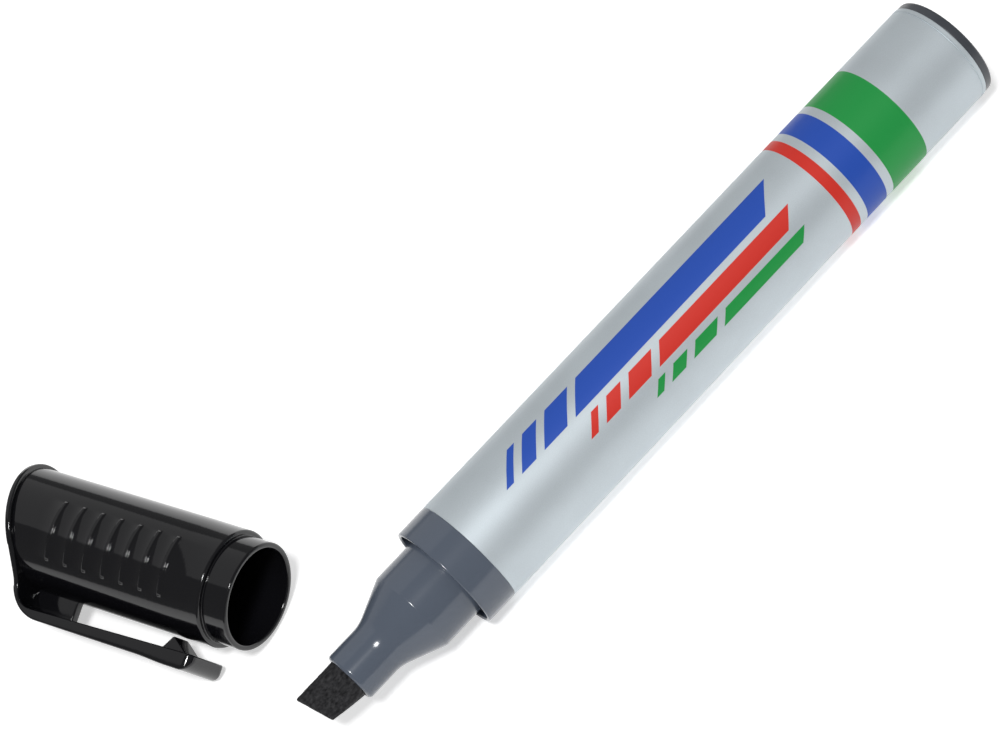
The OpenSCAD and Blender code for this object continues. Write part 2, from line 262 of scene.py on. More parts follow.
class Graph:
    """Short calls that add and join the nodes of one tree."""

    MIX_INPUTS = (0, 6, 7)
    MIX_OUTPUT = 2

    def __init__(self, tree: bpy.types.NodeTree) -> None:
        """Keeps the tree that the calls work on."""
        self.tree = tree

    def add(self, kind: str, **settings: object) -> bpy.types.Node:
        """Adds a node.

        Args:
            kind: the node's type.
            settings: its properties by name.

        Returns:
            The node.
        """
        node = self.tree.nodes.new(kind)
        for key, value in settings.items():
            setattr(node, key, value)
        return node

    def feed(self, socket: bpy.types.NodeSocket, value: object) -> None:
        """Joins a socket to another one, or sets it to a constant.

        Args:
            socket: the input to feed.
            value: the socket that feeds it, or the constant.
        """
        if isinstance(value, bpy.types.NodeSocket):
            self.tree.links.new(value, socket)
        else:
            socket.default_value = value

    def use(self, kind: str, inputs: dict[str, object], **settings: object) -> bpy.types.Node:
        """Adds a node and feeds its inputs.

        Args:
            kind: the node's type.
            inputs: what feeds its inputs, by name.
            settings: its properties by name.

        Returns:
            The node.
        """
        node = self.add(kind, **settings)
        for key, value in inputs.items():
            self.feed(node.inputs[key], value)
        return node

    def math(self, operation: str, *values: object) -> bpy.types.NodeSocket:
        """Adds a math node.

        Args:
            operation: what it works out.
            values: numbers or sockets that it works on.

        Returns:
            Its result.
        """
        node = self.add("ShaderNodeMath", operation=operation)
        for socket, value in zip(node.inputs, values):
            self.feed(socket, value)
        return node.outputs[0]

    def ramp(
        self, value: object, low: float, high: float, start: object = 0.0, end: object = 1.0
    ) -> bpy.types.NodeSocket:
        """Value between low and high, carried to start and end and held there outside."""
        inputs = {"Value": value, "From Min": low, "From Max": high, "To Min": start, "To Max": end}
        return self.use("ShaderNodeMapRange", inputs).outputs[0]

    def blend(self, factor: object, low: object, high: object) -> bpy.types.NodeSocket:
        """Adds a mix of two colours.

        Args:
            factor: share of the second colour.
            low: the first colour.
            high: the second colour.

        Returns:
            The mixed colour.
        """
        node = self.add("ShaderNodeMix", data_type="RGBA")
        for socket, value in zip(self.MIX_INPUTS, (factor, low, high)):
            colour = (*value, 1.0) if isinstance(value, tuple) else value
            self.feed(node.inputs[socket], colour)
        return node.outputs[self.MIX_OUTPUT]

    def noise(self, position: object, scale: object, detail: float = 2.0) -> bpy.types.NodeSocket:
        """Noise between 0 and 1, with scale features to the millimetre."""
        inputs = {"Vector": position, "Scale": scale, "Detail": detail}
        return self.use("ShaderNodeTexNoise", inputs).outputs[0]

    def group(self, tree: bpy.types.NodeTree, inputs: dict[str, object]) -> bpy.types.Node:
        """Places a node group and feeds its inputs."""
        return self.use("ShaderNodeGroup", inputs, node_tree=tree)

    def bump(self, shader: bpy.types.Node, height: object, relief: float) -> None:
        """Gives a shader a relief, in millimetres, from a height between 0 and 1."""
        node = self.use("ShaderNodeBump", {"Height": height, "Distance": relief * MM})
        self.feed(shader.inputs["Normal"], node.outputs[0])

    def millimetres(self) -> bpy.types.NodeSocket:
        """The surface point in the object's own frame.

        Returns:
            The point in millimetres.
        """
        place = self.add("ShaderNodeTexCoord").outputs["Object"]
        node = self.add("ShaderNodeVectorMath", operation="SCALE")
        self.feed(node.inputs[0], place)
        self.feed(node.inputs["Scale"], 1.0 / MM)
        return node.outputs[0]


def new_group(name: str, inputs: Sequence[str], outputs: Sequence[str]) -> tuple[Graph, Sockets, Sockets]:
    """Empty shader node group with named sockets; an input called Position is a vector.

    Args:
        name: the group's name.
        inputs: names of the inputs.
        outputs: names of the outputs, all of them values.

    Returns:
        The group's graph, its inputs' sockets inside and its outputs' sockets inside, by name.
    """
    tree = bpy.data.node_groups.new(name, "ShaderNodeTree")
    for key in inputs:
        kind = "NodeSocketVector" if key == "Position" else "NodeSocketFloat"
        tree.interface.new_socket(name=key, in_out="INPUT", socket_type=kind)
    for key in outputs:
        tree.interface.new_socket(name=key, in_out="OUTPUT", socket_type="NodeSocketFloat")
    graph = Graph(tree)
    entry, leave = graph.add("NodeGroupInput"), graph.add("NodeGroupOutput")
    return graph, {k: entry.outputs[k] for k in inputs}, {k: leave.inputs[k] for k in outputs}


def moulded_skin_group() -> bpy.types.NodeTree:
    """Skin of a moulding: fine grain, cloudy gloss and a few specks of dust.

    Returns:
        Group with Height, Gloss (a roughness) and Dust (a mask).
    """
    names = ("Position", "Grain", "Roughness", "Spread", "Dust spacing", "Dust size")
    graph, given, made = new_group("moulded_skin", names, ("Height", "Gloss", "Dust"))
    grain = graph.noise(given["Position"], graph.math("DIVIDE", 1.0, given["Grain"]))
    graph.feed(made["Height"], grain)
    cloud = graph.math("SUBTRACT", graph.noise(given["Position"], 0.22, 4.0), 0.5)
    gloss = graph.math("MULTIPLY_ADD", cloud, given["Spread"], given["Roughness"])
    graph.feed(made["Gloss"], gloss)
    density = graph.math("DIVIDE", 1.0, given["Dust spacing"])
    cells = graph.use("ShaderNodeTexVoronoi", {"Vector": given["Position"], "Scale": density})
    reach = graph.math("MULTIPLY", cells.outputs["Distance"], given["Dust spacing"])
    inside = graph.math("LESS_THAN", reach, given["Dust size"])
    graph.feed(made["Dust"], inside)
    return graph.tree


def printed_bar_group() -> bpy.types.NodeTree:
    """Printed bar on the barrel: a strip from start to end along it, with slanted ends.

    Returns:
        Group with Mask, which is 1 on the bar.
    """
    names = ("Along", "Around", "Start", "End", "Centre", "Width", "Slant", "Softness")
    graph, given, made = new_group("printed_bar", names, ("Mask",))
    across = graph.math("SUBTRACT", given["Around"], given["Centre"])
    station = graph.math("SUBTRACT", given["Along"], graph.math("MULTIPLY", across, given["Slant"]))
    side = graph.math("SUBTRACT", graph.math("MULTIPLY", given["Width"], 0.5), graph.math("ABSOLUTE", across))
    head = graph.math("SUBTRACT", station, given["Start"])
    tail = graph.math("SUBTRACT", given["End"], station)
    depth = graph.math("MINIMUM", side, graph.math("MINIMUM", head, tail))
    mask = graph.math("ADD", graph.math("DIVIDE", depth, given["Softness"]), 0.5)
    graph.feed(made["Mask"], graph.math("MAXIMUM", graph.math("MINIMUM", mask, 1.0), 0.0))
    return graph.tree


def felt_group() -> bpy.types.NodeTree:
    """Bonded fibres: long streaks along X, crossed by a tangle of short ones.

    Returns:
        Group with Shade (0 in the gaps, 1 on the fibres) and Height.
    """
    graph, given, made = new_group("felt_fibres", ("Position", "Fibre"), ("Shade", "Height"))
    density = graph.math("DIVIDE", 1.0, given["Fibre"])
    stretch = graph.add("ShaderNodeVectorMath", operation="MULTIPLY")
    graph.feed(stretch.inputs[0], given["Position"])
    stretch.inputs[1].default_value = (0.25, 1.0, 1.0)
    streaks = graph.noise(stretch.outputs[0], density, 3.0)
    tangle = graph.noise(given["Position"], graph.math("MULTIPLY", density, 0.6), 4.0)
    both = graph.math("MULTIPLY_ADD", tangle, 0.6, graph.math("MULTIPLY", streaks, 0.4))
    graph.feed(made["Shade"], graph.ramp(both, 0.36, 0.66))
    graph.feed(made["Height"], both)
    return graph.tree


# Finishes


def new_finish(name: str) -> tuple[bpy.types.Material, Graph, bpy.types.Node]:
    """Material with one Principled shader.

    Args:
        name: the material's name.

    Returns:
        The material, its graph and its shader.
    """
    material = bpy.data.materials.new(name)
    material.use_nodes = True
    graph = Graph(material.node_tree)
    shader = next(n for n in material.node_tree.nodes if n.type == "BSDF_PRINCIPLED")
    return material, graph, shader


@dataclass(frozen=True)
class MouldedPlastic:
    """Moulded plastic with a fine skin and a little dust."""

    name: str
    colour: Colour
    roughness: float
    spread: float
    grain: float
    relief: float
    coat: float = 0.0
    coat_roughness: float = 0.08
    dust_spacing: float = 6.0
    dust_size: float = 0.06
    dust: Colour = (0.42, 0.42, 0.44)

    def material(self, skin: bpy.types.NodeTree) -> bpy.types.Material:
        """Builds the material.

        Args:
            skin: the group that moulded_skin_group made.

        Returns:
            The material.
        """
        material, graph, shader = new_finish(self.name)
        position = graph.millimetres()
        inputs = {
            "Position": position,
            "Grain": self.grain,
            "Roughness": self.roughness,
            "Spread": self.spread,
            "Dust spacing": self.dust_spacing,
            "Dust size": self.dust_size,
        }
        marks = graph.group(skin, inputs)
        graph.feed(shader.inputs["Base Color"], graph.blend(marks.outputs["Dust"], self.colour, self.dust))
        graph.feed(shader.inputs["Roughness"], marks.outputs["Gloss"])
        graph.bump(shader, marks.outputs["Height"], self.relief)
        shader.inputs["Coat Weight"].default_value = self.coat
        shader.inputs["Coat Roughness"].default_value = self.coat_roughness
        return material


@dataclass(frozen=True)
class PrintedBar:
    """One bar of the barrel's print: stations along the barrel, place round it, width, slant and ink."""

    start: float
    end: float
    centre: float
    width: float
    slant: float
    ink: Ink


@dataclass(frozen=True)
class PrintedAluminium:
    """Satin aluminium under clear lacquer, printed with plain rings and slanted bars."""

    name: str
    colour: Colour
    roughness: float
    facing: float
    radius: float
    softness: float = 0.05
    ring_width: float = 200.0
    bar_slant: float = 1.0
    dashes: tuple[float, ...] = (4.5, 2.8, 1.4)
    dash_gap: float = 1.6
    flake_density: float = 9.0
    flake_share: float = 0.35
    cloud_density: float = 0.12
    cloud_share: float = 0.3
    dullest: float = 0.88
    bare_metal: float = 0.55
    inked_metal: float = 0.1
    satin_spread: float = 0.12
    relief: float = 0.004
    lacquer: float = 0.15
    lacquer_roughness: float = 0.2

    def rings(self) -> list[PrintedBar]:
        """Three rings round the rear of the barrel, each narrower than the one behind it."""
        layout = ((14.0, 21.0, Ink.GREEN), (22.4, 26.4, Ink.BLUE), (27.8, 29.6, Ink.RED))
        return [PrintedBar(start, end, 0.0, self.ring_width, 0.0, ink) for start, end, ink in layout]

    def bars(self) -> list[PrintedBar]:
        """Three bars along the barrel that break up into dashes towards the nib.

        Returns:
            The bars, each followed by its dashes.
        """
        layout = (
            (36.0, 74.0, -4.0, 4.2, Ink.BLUE),
            (36.0, 62.0, 0.4, 2.6, Ink.RED),
            (36.0, 52.0, 3.6, 1.8, Ink.GREEN),
        )
        bars = []
        for start, end, centre, width, ink in layout:
            bars.append(PrintedBar(start, end, centre, width, self.bar_slant, ink))
            station = end
            for dash in self.dashes:
                station += self.dash_gap
                bars.append(PrintedBar(station, station + dash, centre, width, self.bar_slant, ink))
                station += dash
        return bars

    def material(self, bar_group: bpy.types.NodeTree) -> bpy.types.Material:
        """Builds the material.

        Args:
            bar_group: the group that printed_bar_group made.

        Returns:
            The material.
        """
        material, graph, shader = new_finish(self.name)
        position = graph.millimetres()
        split = graph.use("ShaderNodeSeparateXYZ", {"Vector": position})
        from_top = graph.math("ARCTAN2", split.outputs["Y"], split.outputs["Z"])
        turn = graph.math("SUBTRACT", from_top, self.facing)
        around = graph.math("MULTIPLY", turn, self.radius)
        sparkle = graph.noise(position, self.flake_density, 1.0)
        cloud = graph.noise(position, self.cloud_density, 3.0)
        clouding = graph.math("MULTIPLY", cloud, self.cloud_share)
        shade = graph.math("MULTIPLY_ADD", sparkle, self.flake_share, clouding)
        dull = tuple(self.dullest * c for c in self.colour)
        colour = graph.blend(graph.ramp(shade, 0.2, 0.45), dull, self.colour)
        covered: object = 0.0
        for bar in self.rings() + self.bars():
            inputs = {
                "Along": split.outputs["X"],
                "Around": around,
                "Start": bar.start,
                "End": bar.end,
                "Centre": bar.centre,
                "Width": bar.width,
                "Slant": bar.slant,
                "Softness": self.softness,
            }
            mask = graph.group(bar_group, inputs).outputs["Mask"]
            colour = graph.blend(mask, colour, bar.ink.value)
            covered = graph.math("MAXIMUM", covered, mask)
        graph.feed(shader.inputs["Base Color"], colour)
        metal = graph.ramp(covered, 0.0, 1.0, self.bare_metal, self.inked_metal)
        graph.feed(shader.inputs["Metallic"], metal)
        smoothest = self.roughness - 0.5 * self.satin_spread
        satin = graph.math("MULTIPLY_ADD", sparkle, self.satin_spread, smoothest)
        graph.feed(shader.inputs["Roughness"], satin)
        graph.bump(shader, sparkle, self.relief)
        shader.inputs["Coat Weight"].default_value = self.lacquer
        shader.inputs["Coat Roughness"].default_value = self.lacquer_roughness
        return material


@dataclass(frozen=True)
class InkedFibre:
    """Felt or fibre that is soaked with ink."""

    name: str
    gap: Colour
    fibre: Colour
    fibre_size: float
    relief: float = 0.08
    gap_roughness: float = 0.95
    fibre_roughness: float = 0.7

    def material(self, felt: bpy.types.NodeTree) -> bpy.types.Material:
        """Builds the material.

        Args:
            felt: the group that felt_group made.

        Returns:
            The material.
        """
        material, graph, shader = new_finish(self.name)
        fibres = graph.group(felt, {"Position": graph.millimetres(), "Fibre": self.fibre_size})
        shade = fibres.outputs["Shade"]
        graph.feed(shader.inputs["Base Color"], graph.blend(shade, self.gap, self.fibre))
        roughness = graph.ramp(shade, 0.0, 1.0, self.gap_roughness, self.fibre_roughness)
        graph.feed(shader.inputs["Roughness"], roughness)
        graph.bump(shader, fibres.outputs["Height"], self.relief)
        return material


SLATE = MouldedPlastic(
    "slate_plastic", (0.108, 0.130, 0.170), roughness=0.16, spread=0.05, grain=0.12, relief=0.002
)
GREY = MouldedPlastic(
    "grey_plastic", (0.058, 0.064, 0.076), roughness=0.36, spread=0.15, grain=0.12, relief=0.006, coat=0.1
)
BLACK = MouldedPlastic(
    "black_plastic", (0.006, 0.006, 0.0075), roughness=0.09, spread=0.04, grain=0.5, relief=0.004
)
LINER = MouldedPlastic(
    "liner_plastic", (0.02, 0.02, 0.022), roughness=0.4, spread=0.1, grain=0.2, relief=0.004
)
FILM = MouldedPlastic(
    "clear_film", (0.72, 0.74, 0.76), roughness=0.22, spread=0.1, grain=0.5, relief=0.004, coat=0.3
)
FELT = InkedFibre("inked_felt", gap=(0.002, 0.002, 0.003), fibre=(0.028, 0.028, 0.031), fibre_size=0.3)
FIBRE = InkedFibre("inked_fibre", gap=(0.006, 0.006, 0.008), fibre=(0.03, 0.03, 0.035), fibre_size=0.25)


@dataclass(frozen=True)
class Finishes:
    """The materials of all pieces."""

    aluminium: bpy.types.Material
    slate: bpy.types.Material
    grey: bpy.types.Material
    black: bpy.types.Material
    liner: bpy.types.Material
    film: bpy.types.Material
    felt: bpy.types.Material
    fibre: bpy.types.Material


def make_finishes(facing: float, radius: float) -> Finishes:
    """Builds all materials.

    Args:
        facing: angle from the top of the barrel to the middle of its print, in radians.
        radius: the barrel's radius.

    Returns:
        The materials.
    """
    skin, bars, felt = moulded_skin_group(), printed_bar_group(), felt_group()
    aluminium = PrintedAluminium(
        "satin_aluminium", (0.66, 0.725, 0.765), roughness=0.58, facing=facing, radius=radius
    )
    return Finishes(
        aluminium=aluminium.material(bars),
        slate=SLATE.material(skin),
        grey=GREY.material(skin),
        black=BLACK.material(skin),
        liner=LINER.material(skin),
        film=FILM.material(skin),
        felt=FELT.material(felt),
        fibre=FIBRE.material(felt),
    )


# Pieces of the marker


@dataclass(frozen=True)
class Barrel:
    """Drawn aluminium tube with a rolled line near its rear edge, and the plug that closes it."""

    start: float
    end: float
    radius: float
    wall: float = 0.5
    edge: float = 0.12
    roll_setback: float = 0.8
    roll: float = 0.15
    flange_inset: float = 0.1
    flange_round: float = 0.45
    plug_floor: float = 2.1
    plug_seat: float = 3.0
    plug_reach: float = 9.0
    plug_clearance: float = 0.03
    plug_wall: float = 0.8
    plug_hollow: float = 5.3

    def tube(self) -> bpy.types.Object:
        """Turned wall; the rolled line is a half-round dip of the outer wall.

        Returns:
            The tube.
        """
        bore = self.radius - self.wall
        line = self.start + self.roll_setback
        angle = np.linspace(0.0, math.pi, 9)
        dip = np.stack([self.radius - self.roll * np.sin(angle), line - self.roll * np.cos(angle)], axis=-1)
        ends = ((bore, self.end), (bore, self.start), (self.radius, self.start), (self.radius, self.end))
        wall = rounded_profile([Corner(*end, self.edge) for end in ends])
        # The dip lies on the outer wall, between the third and the last of the four alike corners
        split = len(wall) * 3 // 4
        return surface("barrel_tube", turned(np.vstack([wall[:split], dip, wall[split:]])), Wrap.BOTH)

    def plug(self) -> bpy.types.Object:
        """Turned plug: flange, spigot, reservoir socket and hollow.

        Returns:
            The plug.
        """
        flange = self.radius - self.flange_inset
        spigot = self.radius - self.wall - self.plug_clearance
        socket = spigot - self.plug_wall
        end = self.start + self.plug_reach
        seat = self.start + self.plug_seat
        corners = [
            Corner(0.0, 0.0),
            Corner(flange, 0.0, self.flange_round),
            Corner(flange, self.start, self.edge),
            Corner(spigot, self.start),
            Corner(spigot, end, self.edge),
            Corner(socket, end, self.edge),
            Corner(socket, seat),
            Corner(self.plug_hollow, seat, self.edge),
            Corner(self.plug_hollow, self.plug_floor),
            Corner(0.0, self.plug_floor),
        ]
        return surface("rear_plug_moulding", turned(rounded_profile(corners)), Wrap.BOTH)

    def build(self, finishes: Finishes) -> None:
        """Makes and dresses the tube and the plug."""
        settle(self.tube(), "marker", "barrel_aluminium", finishes.aluminium, "barrel")
        settle(self.plug(), "marker", "grey_plastic", finishes.grey, "rear_plug")


@dataclass(frozen=True)
class Nose:
    """Front holder with its collar, cap groove, nozzle, cone and nib tube, and the chisel nib."""

    start: float
    barrel_end: float
    tube_end: float
    point: float
    radius: float
    spigot: float = 7.97
    socket: float = 7.17
    socket_end: float = 96.0
    chamber: float = 5.3
    lip: float = 7.9
    collar_length: float = 5.0
    collar_round: float = 0.25
    groove_depth: float = 4.3
    nozzle: float = 6.5
    nozzle_length: float = 6.2
    nozzle_round: float = 0.6
    wall: float = 1.2
    cone_length: float = 6.2
    cone_round: float = 6.0
    tube: float = 3.95
    tube_round: float = 0.55
    nib: float = 3.2
    nib_clearance: float = 0.05
    nib_edge: float = 0.75
    nib_bevel: float = math.radians(17.0)
    nib_slant: float = math.radians(14.0)
    nib_side: float = math.radians(10.0)
    nib_turn: float = math.radians(35.0)
    nib_round: float = 0.25
    nib_depth: float = 3.0
    nib_sharpness: float = 14.0
    nib_nap: float = 0.035
    nib_seed: int = 7
    nib_segments: int = 192
    nib_rings: int = 60
    spigot_edge: float = 0.15
    seam_edge: float = 0.1
    groove_round: float = 0.3

    def holder(self) -> bpy.types.Object:
        """Turned holder: its outside from the spigot to the tube, then its bore back to the socket.

        Returns:
            The holder.
        """
        lip_end = self.barrel_end + self.collar_length
        groove = lip_end - self.groove_depth
        shoulder = lip_end + self.nozzle_length
        foot = shoulder + self.cone_length
        bore = self.nib + self.nib_clearance
        corners = [
            Corner(self.socket, self.start, self.spigot_edge),
            Corner(self.spigot, self.start, self.spigot_edge),
            Corner(self.spigot, self.barrel_end),
            Corner(self.radius, self.barrel_end, self.seam_edge),
            Corner(self.radius, lip_end, self.collar_round),
            Corner(self.lip, lip_end, self.collar_round),
            Corner(self.lip, groove, self.groove_round),
            Corner(self.nozzle, groove, self.groove_round),
            Corner(self.nozzle, shoulder, self.nozzle_round),
            Corner(self.tube, foot, self.cone_round),
            Corner(self.tube, self.tube_end, self.tube_round),
            Corner(bore, self.tube_end, self.seam_edge),
            Corner(bore, foot - self.wall),
            Corner(self.chamber, shoulder - self.wall),
            Corner(self.chamber, self.socket_end),
            Corner(self.socket, self.socket_end),
        ]
        return surface("front_holder_moulding", turned(rounded_profile(corners, 11)), Wrap.BOTH)

    def nib_radius(self, station: np.ndarray, angle: np.ndarray) -> np.ndarray:
        """Distance from the nib's axis to its surface.

        The rod's radius, the two chisel faces and the side face each bound it; their inverse distances are
        added at a high power, so that the nearest one rules and the edges between them are round.

        Args:
            station: places along the barrel.
            angle: angles about the nib, from its wide direction.

        Returns:
            The distances.
        """
        half = self.nib_edge + (self.point - station) * math.tan(self.nib_bevel)
        side = self.nib - (station - self.tube_end) * math.tan(self.nib_side)
        power = self.nib_sharpness
        inverse = (1.0 / self.nib) ** power + (np.abs(np.sin(angle)) / half) ** power
        inverse = inverse + (np.clip(np.cos(angle), 0.0, None) / side) ** power
        return inverse ** (-1.0 / power)

    def nib_tip(self) -> bpy.types.Object:
        """Chisel nib: rings about its axis that end on the slanted edge, with a worn felt nap.

        The edge's station falls evenly across the nib, whose width there depends on the station, so a few
        rounds of working one out from the other settle both.

        Returns:
            The nib, from a little inside its tube to its point.
        """
        angle = np.linspace(0.0, FULL_TURN, self.nib_segments, endpoint=False)[None, :]
        tip = np.full_like(angle, self.point)
        for _ in range(4):
            across = self.nib_radius(tip, angle) * np.cos(angle)
            tip = self.point - (across + self.nib) * math.tan(self.nib_slant)
        start = self.tube_end - self.nib_depth
        share = np.linspace(0.0, 1.0, self.nib_rings)[:, None]
        station = start + share * (tip - self.nib_round - start)
        radius = self.nib_radius(station, angle)
        turn = np.linspace(0.0, 0.5 * math.pi, 8)[1:, None]
        round_station = tip - self.nib_round * (1.0 - np.sin(turn))
        round_radius = radius[-1:] - self.nib_round * (1.0 - np.cos(turn))
        fill = np.linspace(1.0, 0.0, 14)[1:, None]
        station = np.vstack([station, round_station, tip * fill + tip.mean() * (1.0 - fill)])
        radius = np.vstack([radius, round_radius, round_radius[-1:] * fill])
        draw = np.random.default_rng(self.nib_seed)
        nap = draw.normal(0.0, self.nib_nap, radius.shape)
        smooth = sum(np.roll(np.roll(nap, i, 0), j, 1) for i in (-1, 0, 1) for j in (-1, 0, 1)) / 9.0
        smooth[-1] = smooth[-1].mean()
        radius = np.where(radius > 0.0, np.maximum(radius + smooth, 0.0), 0.0)
        on_edge = np.arange(len(station))[:, None] > self.nib_rings
        station = station + np.where(on_edge, smooth, 0.0)
        wide, thick = radius * np.cos(angle), radius * np.sin(angle)
        y = wide * math.cos(self.nib_turn) + thick * math.sin(self.nib_turn)
        z = thick * math.cos(self.nib_turn) - wide * math.sin(self.nib_turn)
        points = np.stack([station, y, z], axis=-1)
        closed = np.vstack([np.broadcast_to([[start, 0.0, 0.0]], (1, points.shape[1], 3)), points])
        return surface("chisel_nib", closed, Wrap.COLUMNS)

    def build(self, finishes: Finishes) -> None:
        """Makes and dresses the holder and the nib."""
        settle(self.holder(), "marker", "slate_plastic", finishes.slate, "front_holder")
        settle(self.nib_tip(), "marker", "inked_felt", finishes.felt, "nib")


@dataclass(frozen=True)
class Cap:
    """Moulded cap in its own frame: mouth at z = 0, closed end up the z axis, clip on the +x side."""

    mouth: np.ndarray
    axis: np.ndarray
    radius: float
    skirt: float = 7.7
    skirt_length: float = 4.0
    skirt_round: float = 0.3
    shoulder_round: float = 0.4
    bore: float = 6.9
    seat: float = 6.7
    seat_start: float = 16.4
    seat_end: float = 17.6
    head: float = 6.2
    length: float = 38.8
    slant: float = math.radians(19.0)
    plate: float = 0.9
    plate_radius: float = 9.25
    clip_width: float = 12.0
    tip_width: float = 9.0
    clip: float = 1.3
    tip: float = 2.3
    clip_reach: float = 4.3
    clip_lean: float = 0.1
    clip_setback: float = 4.2
    clip_flare: float = 0.2
    flare_length: float = 9.0
    flare_rise: float = 5.0
    nose_round: float = 1.8
    tip_round: float = 0.4
    tip_corner: float = 1.2
    bend: float = 5.7
    fillet: float = 2.8
    edge: float = 0.3
    web_width: float = 1.5
    web_length: float = 6.6
    ridge_width: float = 3.8
    ridge: float = 9.9
    ridge_gap: float = 0.15
    ridge_lead: float = 2.8
    ridge_trail: float = 1.3
    ribs: int = 7
    rib_width: float = 0.9
    rib_crest: float = 0.35
    rib_height: float = 0.25
    rib_arc: float = math.radians(62.0)
    rib_front: float = 6.7
    rib_back: float = 8.2
    rib_run_out: float = 0.5
    liner_bore: float = 4.0
    liner_wall: float = 0.9
    liner_floor: float = 31.0
    liner_clearance: float = 0.05
    liner_mouth: float = 0.45
    liner_round: float = 0.3
    liner_heel: float = 0.2
    liner_edge: float = 0.1
    step_round: float = 0.12
    ridge_round: float = 0.25
    neck_blend: float = 0.25
    even_top: float = 33.4
    disc_rows: int = 72

    @property
    def root(self) -> np.ndarray:
        """Outer corner between the end plate and the clip, as [distance from the axis, station]."""
        reach = self.radius + self.clip_reach
        return np.array([reach, self.end_station(reach)])

    @property
    def inner_root(self) -> np.ndarray:
        """Inner corner between the end plate and the clip."""
        reach = self.root[0] - self.clip
        return np.array([reach, self.end_station(reach) - self.plate / math.cos(self.slant)])

    @property
    def inner_tip(self) -> np.ndarray:
        """Inner corner of the clip's tip."""
        return np.array([self.root[0] - self.clip_lean - self.tip, self.clip_setback])

    @property
    def plate_way(self) -> np.ndarray:
        """Direction along the slanted end towards the clip."""
        return np.array([math.cos(self.slant), -math.sin(self.slant)])

    @property
    def clip_way(self) -> np.ndarray:
        """Direction down the clip's outer face."""
        return unit(np.array([-self.clip_lean, self.clip_setback - self.root[1]]))

    @property
    def roll(self) -> float:
        """Angle of the clip below the level, with the low edge of its bend on the table.

        Returns:
            The angle in radians.
        """
        share = np.linspace(0.0, 1.0, 65)[:, None]
        reach, station = arc(self.root, -self.plate_way, self.clip_way, self.bend, share).T
        half = self.half_width(station)
        height = self.radius + self.rib_height + (station - self.skirt_length - self.rib_front) * self.axis[2]
        return float(np.min(np.arcsin(height / np.hypot(reach, half)) - np.arctan2(half, reach)))

    def half_width(self, station: np.ndarray) -> np.ndarray:
        """Half the clip's width, which narrows evenly from its root to its tip."""
        share = (station - self.clip_setback) / (self.root[1] - self.clip_setback)
        return 0.5 * (self.tip_width + (self.clip_width - self.tip_width) * share)

    def inner_face(self, station: np.ndarray | float) -> np.ndarray:
        """Distance of the clip's inner face from the axis: a straight line from its root to its tip."""
        ends = np.array([self.inner_tip, self.inner_root])
        return np.interp(station, ends[:, 1], ends[:, 0])

    def outer_face(self, station: np.ndarray) -> np.ndarray:
        """Distance of the clip's outer face from the axis: a line that leans in, with a swell near the tip.

        Args:
            station: places along the cap.

        Returns:
            The distances.
        """
        line = self.root[0] - self.clip_lean * (self.root[1] - station) / (self.root[1] - self.clip_setback)
        flare_start = self.clip_setback + self.flare_length
        return line + self.clip_flare * ease((flare_start - station) / self.flare_rise)

    def end_station(self, reach: np.ndarray | float) -> np.ndarray | float:
        """Station of the slanted end's outer face at a distance towards the clip."""
        return self.length - reach * math.tan(self.slant)

    def placed(self, points: np.ndarray) -> np.ndarray:
        """Carries points from the cap's own frame to where the cap lies on the table.

        Args:
            points: rows of [towards the clip, sideways, along the axis].

        Returns:
            The points in the marker's frame.
        """
        level = unit(np.cross([0.0, 0.0, 1.0], self.axis))
        low = np.cross(level, self.axis)
        clip = math.cos(self.roll) * level + math.sin(self.roll) * low
        side = np.cross(self.axis, clip)
        return self.mouth + points @ np.stack([clip, side, self.axis])

    def rib_rows(self) -> np.ndarray:
        """Stations of the ribs' middles."""
        first = self.skirt_length + self.rib_front
        return np.linspace(first, self.length - self.rib_back, self.ribs)

    def rib_swell(self, angle: np.ndarray, station: np.ndarray) -> np.ndarray:
        """Height of the ribs: sloping sides along the cap, times a window on each flank.

        Args:
            angle: angles about the cap, from the clip.
            station: places along the cap.

        Returns:
            Heights above the body.
        """
        gap = np.abs(station[..., None] - self.rib_rows()).min(axis=-1)
        across = ease((0.5 * self.rib_width - gap) / (0.5 * (self.rib_width - self.rib_crest)))
        flank = np.abs(np.abs((angle + math.pi) % FULL_TURN - math.pi) - 0.5 * math.pi)
        run_out = self.rib_run_out / self.radius
        along = ease((0.5 * self.rib_arc - flank) / run_out)
        return self.rib_height * across * along

    def body(self) -> bpy.types.Object:
        """Cap body: one closed profile round the axis, whose top follows the slanted end.

        The lower stations are the same all round. Above the last rib the wall is stretched to meet the end
        plate, station = cap length - r cos(angle) tan(slant) - half the plate.

        Returns:
            The body.
        """
        even = self.even_top
        lower = rounded_profile(
            [
                Corner(self.head, even),
                Corner(self.head, self.seat_end),
                Corner(self.seat, self.seat_end),
                Corner(self.seat, self.seat_start),
                Corner(self.bore, self.seat_start),
                Corner(self.bore, 0.0, self.skirt_round),
                Corner(self.skirt, 0.0, self.skirt_round),
                Corner(self.skirt, self.skirt_length, self.step_round),
                Corner(self.radius, self.skirt_length, self.shoulder_round),
            ]
        )
        beads = (self.rib_rows()[:, None] + np.linspace(-0.5, 0.5, 13)[None, :] * self.rib_width).ravel()
        wall = np.stack([np.full_like(beads, self.radius), beads], axis=-1)
        lower = np.vstack([lower, wall, [[self.radius, even]]])
        angle = np.linspace(0.0, FULL_TURN, 288, endpoint=False)[:, None]
        radius = np.broadcast_to(lower[None, :, 0], (len(angle), len(lower)))
        station = np.broadcast_to(lower[None, :, 1], radius.shape)
        outside = lower[None, :, 0] > self.radius - 1e-6
        radius = radius + np.where(outside, self.rib_swell(angle, station), 0.0)
        rise = np.linspace(0.0, 1.0, 6)[None, 1:]
        for wall_radius, order in ((self.radius, 1), (self.head, -1)):
            top = self.end_station(wall_radius * np.cos(angle)) - 0.5 * self.plate
            rows = even + (top - even) * rise[:, ::order]
